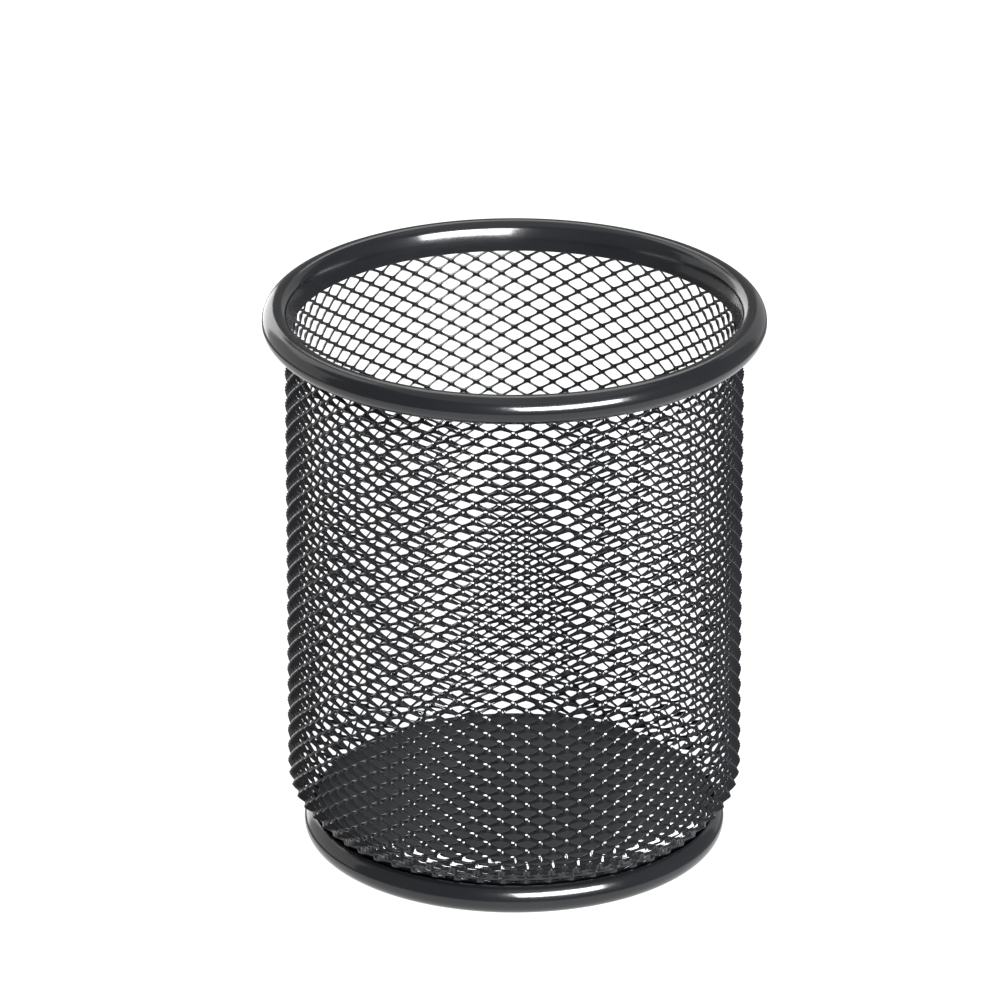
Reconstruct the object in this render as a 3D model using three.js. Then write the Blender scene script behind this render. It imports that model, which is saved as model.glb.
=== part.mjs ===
// Round desk cup for pens: a sleeve of expanded steel mesh held between two rolled sheet-steel
// beads, with a stamped floor plate lying in the foot bead. Millimetres, +Z up, and the origin on
// the table under the middle of the cup.
import * as THREE from 'three';

// ---- driving dimensions ------------------------------------------------------------------------
const cupHeight = 103.4;          // table to the top of the rim
const sleeveRadius = 41.5;        // outside of the mesh wall
const rimCentreRadius = 42.8;     // cup axis to the middle of the rim bead
const rimTubeRadius = 2.65;       // rim bead, outside
const rimCrownRadius = 2.1;       // its tighter bend where it turns in over the mouth
const rimFlankRadius = 10.9;      // and the slack bend of its inner lip
const rimFlankTurn = 20;          // degrees that the inner lip turns
const footCentreRadius = 35.4;    // cup axis to the middle of the foot bead
const footTubeRadius = 3.1;       // foot bead, outside
const footCentreHeight = 3.0;     // a little less than the bead's radius: the foot is pressed flat
const footOuterLip = 58;          // degrees: the foot bead is open from here
const footInnerLip = 104;         // to here, where the mesh edge goes in
const beadSheet = 0.4;            // sheet that both beads are rolled from
const meshThickness = 1.2;        // over the raised strands
const pressedThickness = 0.7;     // and where a bead grips the mesh
const rimTaperLength = 1.5;       // the mesh thins over this height below the rim
const footTaperLength = 2.4;      // and over this stretch above the foot
const plateRadius = 36.0;         // floor plate, to its rounded edge
const plateThickness = 0.6;
const fitGap = 0.3;               // clearance between neighbouring pieces

const shoulderTop = 14.2;         // the straight wall ends here and the shoulder begins
const shoulderBend = 8.5;         // bend radius of the shoulder, on the outside of the mesh
const shoulderAngle = 43;         // degrees that the wall has turned in where the bend ends
const shoulderRun = 5.6;          // straight stretch from the bend down into the foot bead

const sides = 60;                 // facets around the axis
const arcStep = 18;               // degrees between the points of a bead's round stretch

// ---- dimensions that follow --------------------------------------------------------------------
const rimCentreHeight = cupHeight - rimTubeRadius;
const rimBottom = rimCentreHeight - rimTubeRadius;
const sleeveTop = rimCentreHeight - 0.9;

const coatedBlack = { color: 0x1b1d20, roughness: 0.3, metalness: 0.35 };
const satinBlack = { color: 0x2a2c30, roughness: 0.45, metalness: 0.3 };

// ---- profile helpers: every profile runs counter-clockwise, radius across and height up ----------
const point = (radius, height) => new THREE.Vector2(radius, height);
const radians = (angle) => THREE.MathUtils.degToRad(angle);
const degrees = (angle) => THREE.MathUtils.radToDeg(angle);

// points of an arc about (radius, height), ends included
function arc(radius, height, bend, fromDegrees, toDegrees, stepDegrees = arcStep) {
  const steps = Math.ceil(Math.abs(toDegrees - fromDegrees) / stepDegrees);
  const points = [];
  for (let i = 0; i <= steps; i += 1) {
    const angle = radians(fromDegrees + ((toDegrees - fromDegrees) * i) / steps);
    points.push(point(radius + bend * Math.cos(angle), height + bend * Math.sin(angle)));
  }
  return points;
}

// one piece turned about the cup's axis; a profile off the axis closes on its first point
function turned(name, profile, finish) {
  const first = profile[0];
  const closed = first.x === 0 ? profile : [...profile, first.clone()];
  const geometry = new THREE.LatheGeometry(closed, sides);
  const mesh = new THREE.Mesh(geometry, new THREE.MeshStandardMaterial(finish));
  mesh.name = name;
  return mesh;
}

// ---- top rim: a strip rolled over into a bead, its inner edge left nearly straight as a lip -------
function topRim() {
  const curlReach = sleeveRadius + fitGap - rimCentreRadius;
  const curlEnd = -degrees(Math.acos(curlReach / rimTubeRadius));
  const crownHeight = cupHeight - rimCrownRadius;
  const flankStart = 180 - rimFlankTurn;
  const slack = rimFlankRadius - rimCrownRadius;
  const flankRadius = rimCentreRadius + slack * Math.cos(radians(rimFlankTurn));
  const flankHeight = crownHeight - slack * Math.sin(radians(rimFlankTurn));
  // one face of the sheet, from the end of the curl over the crown and down the inner lip
  const face = (depth) => [
    ...arc(rimCentreRadius, rimCentreHeight, rimTubeRadius - depth, curlEnd, 0),
    ...arc(rimCentreRadius, rimCentreHeight, rimTubeRadius - depth, 0, 90).slice(1),
    ...arc(rimCentreRadius, crownHeight, rimCrownRadius - depth, 90, flankStart).slice(1),
    ...arc(flankRadius, flankHeight, rimFlankRadius - depth, flankStart, 180, 10).slice(1),
  ];
  const lipFoot = point(flankRadius - rimFlankRadius, rimBottom);
  const lipBack = point(lipFoot.x + beadSheet, rimBottom);
  return turned('top_rim', [...face(0), lipFoot, lipBack, ...face(beadSheet).reverse()], coatedBlack);
}

// ---- mesh sleeve: the wall and its turned-in shoulder, drawn as a plain sheet ---------------------
function meshSleeve() {
  const bendCentre = sleeveRadius - shoulderBend;
  const turn = radians(shoulderAngle);
  const step = shoulderAngle / 4;
  // a point of the straight run into the foot, by its distance from the bend and below the surface
  const onRun = (distance, depth) => point(
    bendCentre + (shoulderBend - depth) * Math.cos(turn) - distance * Math.sin(turn),
    shoulderTop - (shoulderBend - depth) * Math.sin(turn) - distance * Math.cos(turn),
  );
  const outside = arc(bendCentre, shoulderTop, shoulderBend, -shoulderAngle, 0, step);
  const inside = arc(bendCentre, shoulderTop, shoulderBend - meshThickness, 0, -shoulderAngle, step);
  const pressedBore = sleeveRadius - pressedThickness;
  const taperTop = rimBottom - 2 * fitGap;
  const top = [
    point(sleeveRadius, sleeveTop),
    point(pressedBore, sleeveTop),
    point(pressedBore, taperTop),
    point(sleeveRadius - meshThickness, taperTop - rimTaperLength),
  ];
  const run = [
    onRun(footTaperLength, pressedThickness),
    onRun(shoulderRun, pressedThickness),
  ];
  return turned('mesh_sleeve', [onRun(shoulderRun, 0), ...outside, ...top, ...inside, ...run], coatedBlack);
}

// ---- base plate: a stamped disc whose rounded edge lies on the inner curl of the foot bead --------
function basePlate() {
  const underside = footCentreHeight + footTubeRadius + fitGap;
  const edgeRadius = plateThickness / 2;
  const edge = arc(plateRadius - edgeRadius, underside + edgeRadius, edgeRadius, -90, 90, 45);
  const bottomCentre = point(0, underside);
  const topCentre = point(0, underside + plateThickness);
  return turned('base_plate', [bottomCentre, ...edge, topCentre], satinBlack);
}

// ---- base ring: the foot bead, open along its top where the mesh edge goes in ----------------------
function baseRing() {
  const boreRadius = footTubeRadius - beadSheet;
  const halfLand = degrees(Math.acos(footCentreHeight / footTubeRadius));
  const bead = (bend, from, to) => arc(footCentreRadius, footCentreHeight, bend, from, to);
  const innerSide = bead(footTubeRadius, footInnerLip - 360, -180);
  const innerFoot = bead(footTubeRadius, -180, -90 - halfLand).slice(1);
  const outerFoot = bead(footTubeRadius, -90 + halfLand, 0);
  const outerSide = bead(footTubeRadius, 0, footOuterLip).slice(1);
  const bore = bead(boreRadius, footOuterLip, footInnerLip - 360);
  const profile = [...innerSide, ...innerFoot, ...outerFoot, ...outerSide, ...bore];
  return turned('base_ring', profile, coatedBlack);
}

const cup = new THREE.Group();
cup.add(topRim(), meshSleeve(), basePlate(), baseRing());
cup.rotation.x = Math.PI / 2;     // the lathe turns about Y: stand the cup up along +Z

export default cup;
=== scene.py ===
import math

import bpy
import numpy as np
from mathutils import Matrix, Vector


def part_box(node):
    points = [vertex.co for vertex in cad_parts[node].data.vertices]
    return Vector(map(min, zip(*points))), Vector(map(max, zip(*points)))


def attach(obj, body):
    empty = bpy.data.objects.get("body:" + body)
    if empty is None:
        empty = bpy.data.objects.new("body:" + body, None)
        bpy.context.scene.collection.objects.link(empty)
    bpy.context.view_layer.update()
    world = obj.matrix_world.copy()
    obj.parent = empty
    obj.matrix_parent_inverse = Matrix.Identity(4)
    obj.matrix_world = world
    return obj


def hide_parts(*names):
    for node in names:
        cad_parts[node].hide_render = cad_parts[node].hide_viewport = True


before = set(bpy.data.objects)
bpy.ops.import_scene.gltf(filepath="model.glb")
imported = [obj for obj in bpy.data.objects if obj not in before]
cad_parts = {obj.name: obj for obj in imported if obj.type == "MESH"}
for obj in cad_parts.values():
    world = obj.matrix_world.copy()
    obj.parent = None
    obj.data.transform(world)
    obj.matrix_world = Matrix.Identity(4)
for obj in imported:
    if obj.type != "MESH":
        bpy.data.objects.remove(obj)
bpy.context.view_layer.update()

MM = 0.001

# ---- driving dimensions, in millimetres and degrees ----------------------------------------------
rim_tube = 2.65             # outer radius of the rim bead
rim_crown = 2.1             # its tighter radius where it turns in over the mouth
rim_flank = 10.9            # and the slack radius of the inner lip
rim_flank_turn = 20.0       # how far the inner lip turns
foot_tube = 3.1             # outer radius of the foot bead
bead_sheet = 0.4            # sheet that both beads are rolled from
fit_gap = 0.3               # clearance beside the mesh where it enters a bead
foot_outer_lip = 58.0       # the foot bead is open between these two angles
foot_inner_lip = 104.0

plate_thickness = 0.6
plate_rings = (0.5, 12.0, 24.0)     # radii of the points on its flat faces

shoulder_top = 14.2         # height where the straight wall ends
shoulder_bend = 8.5         # bend radius of the shoulder, outside
shoulder_angle = 43.0       # how far the wall turns in
shoulder_run = 5.6          # straight stretch from the bend down into the foot bead

mesh_columns = 54           # bonds in one turn of the sleeve
mesh_row = 3.06             # height of one diamond
bond_length = 0.55          # round the sleeve
trough_width = 0.45         # a strand's width as the upper half of a bond
crest_width = 0.92          # and as the lower half of the next
strand_swell = 1.15         # width of a strand between its bonds, against its mean width there
bond_curve = 0.12           # share of the climb that a strand has made at the end of a bond
strand_depth = 0.42         # thickness of a strand, coating included
trough_tilt = 22.0          # how far a strand's face looks up above the bond it rises from,
middle_tilt = 51.0          # half way,
crest_tilt = 51.0           # and below the bond it rises to
pressed_depth = 0.55        # share of the thickness left where a bead grips the mesh
rim_grip = 4.0              # the mesh flattens over this length towards the rim
foot_grip = 7.0             # and towards the foot

sides = 240                 # facets round a turned piece
bead_step = 6.0             # degrees between the points of a bead's tube,
flank_step = 4.0            # of the slack inner lip,
lip_step = 30.0             # of the sheet's cut edge
plate_step = 22.5           # and of the plate's edge
sharp_fold = 35.0           # a turned piece is shaded crisp where it folds by more than this
never_sharp = 180.0

# ---- coating -------------------------------------------------------------------------------------
gloss_tones = ((0.003, 0.0033, 0.0042), (0.0045, 0.005, 0.006))
plate_tones = ((0.012, 0.013, 0.0145), (0.018, 0.019, 0.0205))
coating_ior = 1.56
tone_grain = 45.0           # grains per metre
sheen_grain = 160.0
peel_height = 0.05          # of the orange peel, in millimetres

# ---- studio, in metres and degrees ---------------------------------------------------------------
camera_place = (0.0, -1.6, 0.7416)
camera_tilt = 22.91         # how far it looks down
camera_turn = 0.093         # and to its left
camera_lens = 345.0
camera_reach = 50.0

floor_reach = 6.0
floor_grey = 0.1
floor_roughness = 0.9
floor_glow = 1.0
world_glow = 1.1

key_azimuth = 25.0
key_elevation = 26.0
key_distance = 1.7
key_width = 1.37
key_height = 0.72
key_radiance = 40.0

card_columns = 49           # points across a card
card_rows = 19              # and up it
cards = (                   # name, azimuths, elevations, distance and radiance
    ("walls", (-180, 180), (-21, 60), 2.9, 0.25),
    ("ceiling", (-180, 180), (60, 90), 2.9, 0.65),
    ("table_glow", (-180, 180), (-90, -22), 2.9, 1.1),
    ("key_halo", (-5, 58), (-4, 58), 2.6, 0.55),
    ("left_panel", (-145, -92), (-12, 33), 2.6, 0.9),
    ("window", (-166, -143), (-12, 30), 2.5, 3.0),
    ("left_top", (-150, -118), (30, 60), 2.5, 1.6),
    ("back_top", (160, 200), (34, 58), 2.5, 2.2),
    ("right_back", (135, 165), (-10, 40), 2.6, 0.6),
)


# ---- materials -----------------------------------------------------------------------------------
def new_material(name, shader_type="ShaderNodeBsdfPrincipled"):
    """A material of one shader, and that shader."""
    material = bpy.data.materials.new(name)
    material.use_nodes = True
    nodes = material.node_tree.nodes
    nodes.clear()
    output = nodes.new("ShaderNodeOutputMaterial")
    shader = nodes.new(shader_type)
    material.node_tree.links.new(shader.outputs[0], output.inputs["Surface"])
    return material, shader


def noise(material, scale, detail=2.0):
    """Grain in object space; scale is in grains per metre."""
    tree = material.node_tree
    coords = tree.nodes.new("ShaderNodeTexCoord")
    texture = tree.nodes.new("ShaderNodeTexNoise")
    texture.inputs["Scale"].default_value = scale
    texture.inputs["Detail"].default_value = detail
    tree.links.new(coords.outputs["Object"], texture.inputs["Vector"])
    return texture.outputs["Fac"]


def spread(material, value, low, high):
    """Turns a grain value into a number between low and high."""
    node = material.node_tree.nodes.new("ShaderNodeMapRange")
    node.inputs["From Min"].default_value = 0.3
    node.inputs["From Max"].default_value = 0.7
    node.inputs["To Min"].default_value = low
    node.inputs["To Max"].default_value = high
    material.node_tree.links.new(value, node.inputs["Value"])
    return node.outputs["Result"]


def two_tone(material, value, dark, light):
    """Turns a grain value into a colour between dark and light."""
    node = material.node_tree.nodes.new("ShaderNodeValToRGB")
    node.color_ramp.elements[0].position = 0.35
    node.color_ramp.elements[0].color = (*dark, 1.0)
    node.color_ramp.elements[1].position = 0.65
    node.color_ramp.elements[1].color = (*light, 1.0)
    material.node_tree.links.new(value, node.inputs["Fac"])
    return node.outputs["Color"]


def coated_steel(name, tones, roughness, peel, peel_size):
    """Baked coating over steel: near black, with a faint orange peel of the given strength and
    grain, in millimetres."""
    material, shader = new_material(name)
    links = material.node_tree.links
    tone = two_tone(material, noise(material, tone_grain), *tones)
    links.new(tone, shader.inputs["Base Color"])
    sheen = spread(material, noise(material, sheen_grain), *roughness)
    links.new(sheen, shader.inputs["Roughness"])
    shader.inputs["IOR"].default_value = coating_ior
    bump = material.node_tree.nodes.new("ShaderNodeBump")
    bump.inputs["Strength"].default_value = peel
    bump.inputs["Distance"].default_value = peel_height * MM
    links.new(noise(material, 1000.0 / peel_size, 1.0), bump.inputs["Height"])
    links.new(bump.outputs["Normal"], shader.inputs["Normal"])
    return material


def bead_black():
    return coated_steel("bead_black", gloss_tones, (0.13, 0.17), peel=0.2, peel_size=1.4)


def mesh_black():
    return coated_steel("mesh_black", gloss_tones, (0.08, 0.11), peel=0.1, peel_size=0.8)


def plate_black():
    return coated_steel("plate_black", plate_tones, (0.34, 0.42), peel=0.35, peel_size=0.9)


# ---- shape helpers -------------------------------------------------------------------------------
def arc(radius, height, bend, start, end, step=bead_step):
    """Points of an arc about (radius, height), ends included; angles in degrees."""
    count = max(1, math.ceil(abs(end - start) / step))
    angles = [math.radians(start + (end - start) * i / count) for i in range(count + 1)]
    return [(radius + bend * math.cos(a), height + bend * math.sin(a)) for a in angles]


def new_piece(name, points, faces, material, fold=sharp_fold):
    """A smooth piece, crisp where it folds by more than the given angle."""
    mesh = bpy.data.meshes.new(name)
    mesh.from_pydata(points, [], faces)
    mesh.validate()
    mesh.shade_smooth()
    mesh.set_sharp_from_angle(angle=math.radians(fold))
    mesh.materials.append(material)
    piece = bpy.data.objects.new(name, mesh)
    bpy.context.scene.collection.objects.link(piece)
    return piece


def sharpen(mesh, pairs):
    """Keeps the edges between the given pairs of vertices crisp, and only those."""
    edges = np.empty(len(mesh.edges) * 2, np.int64)
    mesh.edges.foreach_get("vertices", edges)
    edges = np.sort(edges.reshape(-1, 2), axis=1)
    pairs = np.sort(pairs, axis=1)
    size = len(mesh.vertices)
    crisp = np.isin(edges[:, 0] * size + edges[:, 1], pairs[:, 0] * size + pairs[:, 1])
    crease = mesh.attributes.new("crease_edge", "FLOAT", "EDGE")
    crease.data.foreach_set("value", crisp.astype(np.float32))
    sharp = mesh.attributes.get("sharp_edge") or mesh.attributes.new("sharp_edge", "BOOLEAN", "EDGE")
    sharp.data.foreach_set("value", crisp)


def turned(name, profile, material, solid=False):
    """One piece turned about the cup's axis from a closed profile in millimetres. A solid piece has
    no bore: its first and last points are joined by small discs over the axis."""
    points, faces = [], []
    count = len(profile)
    for i in range(sides):
        angle = 2 * math.pi * i / sides
        for radius, height in profile:
            points.append((radius * MM * math.cos(angle), radius * MM * math.sin(angle), height * MM))
    for i in range(sides):
        here, there = i * count, (i + 1) % sides * count
        for j in range(count - 1 if solid else count):
            k = (j + 1) % count
            faces.append((here + j, there + j, there + k, here + k))
    if solid:
        faces.append([i * count for i in range(sides)][::-1])
        faces.append([i * count + count - 1 for i in range(sides)])
    return new_piece(name, points, faces, material)


def node_reach(node):
    """Outer radius, lowest and highest point of a CAD node, in millimetres."""
    low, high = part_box(node)
    return high[0] / MM, low[2] / MM, high[2] / MM


# ---- beads and plate -----------------------------------------------------------------------------
def rim_bead(material):
    """Sheet rolled over the mesh edge and down outside it, with a slack lip inside the mouth."""
    outer, _, high = node_reach("top_rim")
    sleeve_outer = node_reach("mesh_sleeve")[0]
    radius, height = outer - rim_tube, high - rim_tube
    half_sheet = bead_sheet / 2
    curl_end = -math.degrees(math.acos((sleeve_outer + fit_gap - radius) / rim_tube))
    flank_start = 180 - rim_flank_turn
    crown_height = high - rim_crown
    turn = math.radians(rim_flank_turn)
    flank_radius = radius + (rim_flank - rim_crown) * math.cos(turn)
    flank_height = crown_height - (rim_flank - rim_crown) * math.sin(turn)

    def skin(depth):
        """The sheet's surface from the end of the curl over the crown and down the inner lip."""
        curl = arc(radius, height, rim_tube - depth, curl_end, 90)
        crown = arc(radius, crown_height, rim_crown - depth, 90, flank_start)
        flank = arc(flank_radius, flank_height, rim_flank - depth, flank_start, 180, flank_step)
        return curl + crown[1:] + flank[1:]

    outside = skin(0)
    inside = skin(bead_sheet)[::-1]
    lip_radius = flank_radius - rim_flank + half_sheet
    lip = arc(lip_radius, flank_height, half_sheet, 180, 360, lip_step)
    middle = rim_tube - half_sheet
    end = math.radians(curl_end)
    centre = (radius + middle * math.cos(end), height + middle * math.sin(end))
    curl_edge = arc(*centre, half_sheet, curl_end - 180, curl_end - 360, lip_step)[1:-1]
    return turned("rim_bead", outside + lip + inside + curl_edge, material)


def foot_bead(material):
    """Sheet rolled into a ring, open on top where the mesh enters and flat where it stands."""
    outer, low, high = node_reach("base_ring")
    radius = outer - foot_tube
    height = high - foot_tube
    bore = foot_tube - bead_sheet
    half_sheet = bead_sheet / 2
    middle = foot_tube - half_sheet
    half_land = math.degrees(math.acos((height - low) / foot_tube))

    def edge(angle, side):
        """The sheet's rounded edge at one side of the opening."""
        turn = math.radians(angle)
        centre = (radius + middle * math.cos(turn), height + middle * math.sin(turn))
        return arc(*centre, half_sheet, angle + side, angle + side + 180, lip_step)[1:-1]

    inner_side = arc(radius, height, foot_tube, foot_inner_lip - 360, -90 - half_land)
    outer_side = arc(radius, height, foot_tube, -90 + half_land, foot_outer_lip)
    outer_edge = edge(foot_outer_lip, 0)
    inside = arc(radius, height, bore, foot_outer_lip, foot_inner_lip - 360)
    inner_edge = edge(foot_inner_lip - 360, 180)
    profile = inner_side + outer_side + outer_edge + inside + inner_edge
    return turned("foot_bead", profile, material)


def floor_plate(material):
    """Flat disc with a rounded edge."""
    outer, low, high = node_reach("base_plate")
    half = plate_thickness / 2
    edge = arc(outer - half, low + half, half, -90, 90, plate_step)
    lower = [(radius, low) for radius in plate_rings]
    upper = [(radius, high) for radius in plate_rings[::-1]]
    return turned("floor_plate", lower + edge + upper, material, solid=True)


# ---- expanded mesh -------------------------------------------------------------------------------
# One period of a strip has eight sections: 0 to 2 span the bond below it, 3 is on the climb, 4 to 6
# span the bond above and 7 is on the descent.
period_rings = 8
low_bond, high_bond = slice(0, 3), slice(4, 7)
inside_low_bond, inside_high_bond = slice(0, 2), slice(4, 6)

# The corners of each section, in order. A side of the strip runs from a corner to the next.
outer_bottom, outer_top, inner_top, inner_bottom = range(4)


def wall_frame(rise):
    """Radius, height and outward direction of the sleeve's outer surface, by the distance along
    the wall from the top of the shoulder; all arrays."""
    outer = node_reach("mesh_sleeve")[0]
    bend_length = shoulder_bend * math.radians(shoulder_angle)
    turn = np.clip(-rise / shoulder_bend, 0.0, math.radians(shoulder_angle))
    straight = np.maximum(rise, 0.0)
    run = np.maximum(-rise - bend_length, 0.0)
    radius = outer - shoulder_bend * (1 - np.cos(turn)) - run * np.sin(turn)
    height = shoulder_top - shoulder_bend * np.sin(turn) - run * np.cos(turn) + straight
    return radius, height, np.cos(turn), -np.sin(turn)


def strand_sections(half_row):
    """Corners of a strip's section at the bond below, at that bond's end, half way, at the end of the
    bond above and at that bond, each as height and proudness."""
    def across(tilt, length):
        return np.array([math.cos(tilt), -math.sin(tilt)]) * length

    def through(tilt, length):
        return np.array([math.sin(tilt), math.cos(tilt)]) * length

    low, half_way, high = (math.radians(tilt) for tilt in (trough_tilt, middle_tilt, crest_tilt))
    mean = (low + high) / 2
    bond_below, bond_above = np.array([0.0, 0.0]), np.array([half_row, 0.0])
    seam = through(mean, strand_depth / math.cos(mean - low))
    top = bond_below + across(low, trough_width)
    trough = [bond_below, top, top - through(low, strand_depth), bond_below - seam]
    bottom = bond_above - across(high, crest_width)
    crest = [bottom, bond_above, bond_above - seam, bottom - through(high, strand_depth)]

    rise = np.mean(crest, axis=0) - np.mean(trough, axis=0)
    free_top = np.array([0, 1, 1, 0])[:, None] * bond_curve * rise
    free_bottom = np.array([1, 0, 0, 1])[:, None] * bond_curve * rise
    centre = np.mean(trough, axis=0) + rise / 2
    half_width = across(half_way, (trough_width + crest_width) / 2 * strand_swell / 2)
    half_depth = through(half_way, strand_depth / 2)
    middle = [
        centre - half_width + half_depth,
        centre + half_width + half_depth,
        centre + half_width - half_depth,
        centre - half_width - half_depth,
    ]
    return np.array([trough, trough + free_top, middle, crest - free_bottom, crest])


def strand_points(first, last, half_row, wall_length, below):
    """Corners of every section of the strips from first up to last, in metres. Strip 0 starts at the
    top of the shoulder, and the wall goes on below it and above it by the given lengths."""
    pitch = 2 * math.pi * node_reach("mesh_sleeve")[0] / mesh_columns
    half_bond = bond_length / 2 / pitch
    along = np.array([
        -half_bond, 0.0, half_bond, 0.25, 0.5 - half_bond, 0.5, 0.5 + half_bond, 0.75,
    ])
    sections = strand_sections(half_row)[[1, 0, 1, 2, 3, 4, 3, 2]]

    strip = np.arange(first, last)[:, None, None, None]
    column = np.arange(mesh_columns)[None, :, None, None]
    ring = np.arange(period_rings)[None, None, :, None]
    start = 0.5 * (strip % 2)
    rise = strip * half_row + sections[..., 0]
    proud = sections[..., 1]
    turn = 2 * math.pi * (column + start + along[ring]) / mesh_columns
    rise, proud, turn = np.broadcast_arrays(rise, proud, turn)

    # towards a bead the strands are pressed flatter
    grip = np.clip(np.minimum((wall_length - rise) / rim_grip, (rise + below) / foot_grip), 0.0, 1.0)
    press = pressed_depth + (1 - pressed_depth) * grip * grip * (3 - 2 * grip)
    radius, height, out_r, out_z = wall_frame(rise)
    offset = (proud - sections[..., 1].max()) * press
    radius = (radius + offset * out_r) * MM
    height = (height + offset * out_z) * MM
    return np.stack([radius * np.cos(turn), radius * np.sin(turn), height], axis=-1).reshape(-1, 3)


def strand_faces(first, last):
    """Faces of the strips from first up to last, by the numbers of their corners, and the edges
    along each strip's outer bottom corners."""
    strips = last - first
    shape = (strips, mesh_columns, period_rings)
    number = np.arange(math.prod(shape) * 4).reshape(*shape, 4)

    # the bonds below a strip are the bonds above the strip under it
    for j in range(1, strips):
        under = number[j - 1] if (j + first) % 2 else np.roll(number[j - 1], 1, axis=0)
        number[j][:, low_bond, outer_bottom] = under[:, high_bond, outer_top]
        number[j][:, low_bond, inner_bottom] = under[:, high_bond, inner_top]

    here = number.reshape(strips, mesh_columns * period_rings, 4)
    there = np.roll(here, -1, axis=1)
    faces = []
    for side in range(4):
        other = (side + 1) % 4
        quads = np.stack([here[..., side], here[..., other], there[..., other], there[..., side]], -1)
        keep = np.ones(shape, bool)
        if side == outer_top:
            keep[:-1, :, inside_high_bond] = False
        if side == inner_bottom:
            keep[1:, :, inside_low_bond] = False
        faces.append(quads.reshape(*shape, 4)[keep])
    bottom_edges = np.stack([here[..., outer_bottom], there[..., outer_bottom]], -1)
    return np.concatenate(faces), bottom_edges.reshape(-1, 2)


def expanded_mesh(material):
    """Raised expanded steel. Each strip of metal zigzags round the sleeve between the bond row
    below it and the one above, and shares its bonds with its neighbours. The strands' lower outer
    edges and the seams across the bonds stay crisp."""
    wall_length = node_reach("mesh_sleeve")[2] - shoulder_top
    below = shoulder_bend * math.radians(shoulder_angle) + shoulder_run
    half_row = mesh_row / 2
    first = math.ceil(-below / half_row)
    last = math.floor(wall_length / half_row)
    points = strand_points(first, last, half_row, wall_length, below)
    faces, bottom_edges = strand_faces(first, last)

    used, compact = np.unique(faces, return_inverse=True)
    faces = compact.reshape(-1, 4).tolist()
    piece = new_piece("expanded_mesh", points[used].tolist(), faces, material, never_sharp)
    sharpen(piece.data, np.searchsorted(used, bottom_edges))
    rounding = piece.modifiers.new("rounding", "SUBSURF")
    rounding.levels = rounding.render_levels = 1
    return piece


# ---- stage ---------------------------------------------------------------------------------------
def direction(azimuth, elevation):
    """Unit vector; azimuth 0 is towards the camera and grows to its right."""
    a, e = math.radians(azimuth), math.radians(elevation)
    return np.array([math.sin(a) * math.cos(e), -math.cos(a) * math.cos(e), math.sin(e)])


def make_camera():
    data = bpy.data.cameras.new("camera")
    data.lens = camera_lens
    data.clip_end = camera_reach
    camera = bpy.data.objects.new("camera", data)
    camera.location = camera_place
    camera.rotation_euler = (math.radians(90 - camera_tilt), 0.0, math.radians(camera_turn))
    bpy.context.scene.collection.objects.link(camera)
    bpy.context.scene.camera = camera


def make_world():
    world = bpy.data.worlds.new("studio")
    world.use_nodes = True
    background = world.node_tree.nodes["Background"]
    background.inputs["Color"].default_value = (1.0, 1.0, 1.0, 1.0)
    background.inputs["Strength"].default_value = world_glow
    bpy.context.scene.world = world


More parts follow.
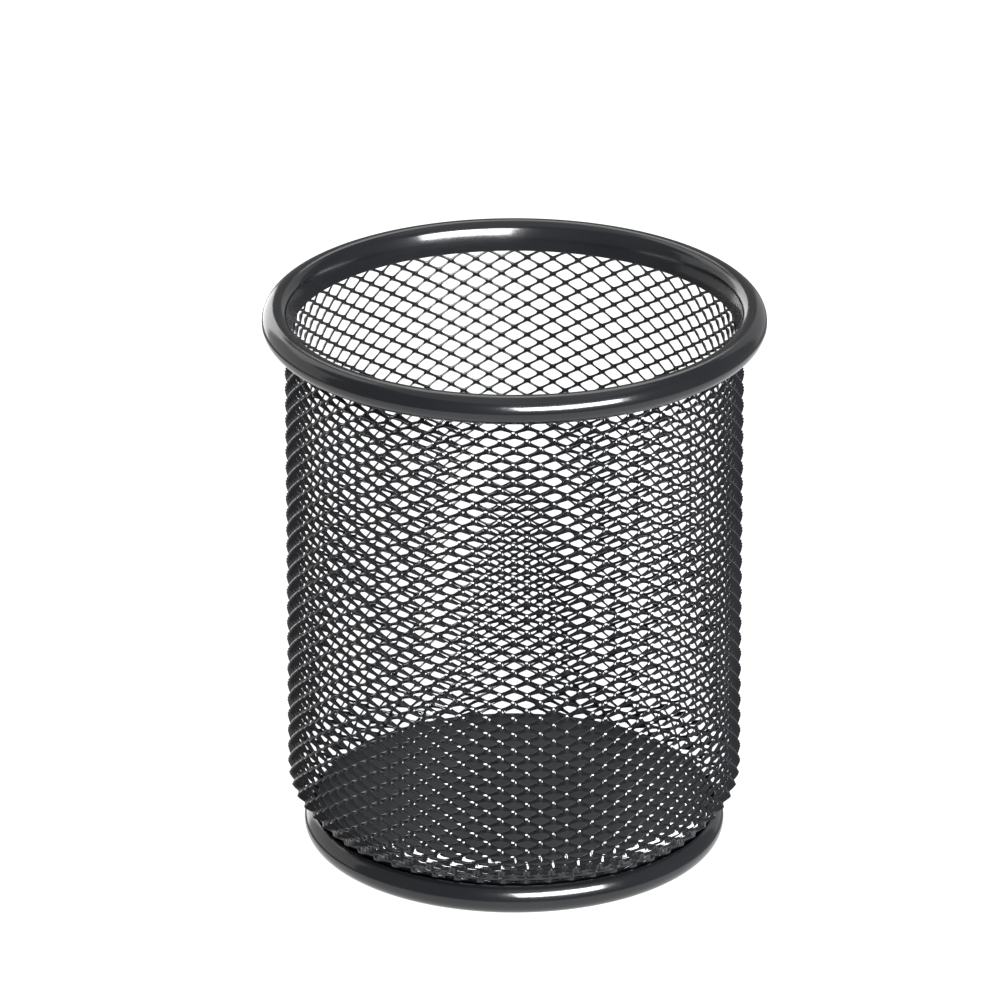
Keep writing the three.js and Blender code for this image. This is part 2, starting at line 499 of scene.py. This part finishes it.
def make_floor():
    """White floor that glows, so that it stays white in the cup's shadow. The cup doesn't mirror
    it: the cards stand in for it."""
    material, shader = new_material("floor_paint")
    shader.inputs["Base Color"].default_value = (floor_grey, floor_grey, floor_grey, 1.0)
    shader.inputs["Roughness"].default_value = floor_roughness
    shader.inputs["Emission Color"].default_value = (1.0, 1.0, 1.0, 1.0)
    shader.inputs["Emission Strength"].default_value = floor_glow
    signs = ((-1, -1), (1, -1), (1, 1), (-1, 1))
    corners = [(x * floor_reach, y * floor_reach, 0) for x, y in signs]
    mesh = bpy.data.meshes.new("floor")
    mesh.from_pydata(corners, [], [(0, 1, 2, 3)])
    mesh.materials.append(material)
    floor = bpy.data.objects.new("floor", mesh)
    bpy.context.scene.collection.objects.link(floor)
    floor.visible_glossy = False


def make_card(name, azimuths, elevations, distance, radiance):
    """A curved white card round the cup, seen only in reflections."""
    azimuths = np.linspace(*azimuths, card_columns)
    elevations = np.linspace(*elevations, card_rows)
    points = [tuple(distance * direction(a, e)) for e in elevations for a in azimuths]
    faces = []
    for row in range(card_rows - 1):
        for i in range(card_columns - 1):
            low, high = row * card_columns + i, (row + 1) * card_columns + i
            faces.append((low, low + 1, high + 1, high))
    material, glow = new_material(name, "ShaderNodeEmission")
    glow.inputs["Color"].default_value = (1.0, 1.0, 1.0, 1.0)
    glow.inputs["Strength"].default_value = radiance
    mesh = bpy.data.meshes.new(name)
    mesh.from_pydata(points, [], faces)
    mesh.materials.append(material)
    card = bpy.data.objects.new(name, mesh)
    card.visible_camera = False
    card.visible_diffuse = False
    card.visible_shadow = False
    bpy.context.scene.collection.objects.link(card)


def make_key_light():
    """Soft box in front of the cup, to the right."""
    data = bpy.data.lights.new("key_light", "AREA")
    data.shape = "RECTANGLE"
    data.size, data.size_y = key_width, key_height
    data.energy = key_radiance * math.pi * key_width * key_height
    light = bpy.data.objects.new("key_light", data)
    spot = direction(key_azimuth, key_elevation) * key_distance
    light.location = spot
    light.rotation_euler = (-Vector(spot)).to_track_quat("-Z", "Y").to_euler()
    bpy.context.scene.collection.objects.link(light)


# ---- the studio and the cup ----------------------------------------------------------------------
make_camera()
make_world()
make_floor()
for card in cards:
    make_card(*card)
make_key_light()
bpy.context.scene.view_settings.view_transform = "Standard"

bead_coating = bead_black()
mesh_coating = mesh_black()
plate_coating = plate_black()

for piece, node, finish in (
    (rim_bead(bead_coating), "top_rim", "coated_bead"),
    (foot_bead(bead_coating), "base_ring", "coated_bead"),
    (floor_plate(plate_coating), "base_plate", "coated_plate"),
    (expanded_mesh(mesh_coating), "mesh_sleeve", "coated_mesh"),
):
    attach(piece, "root")
    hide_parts(node)
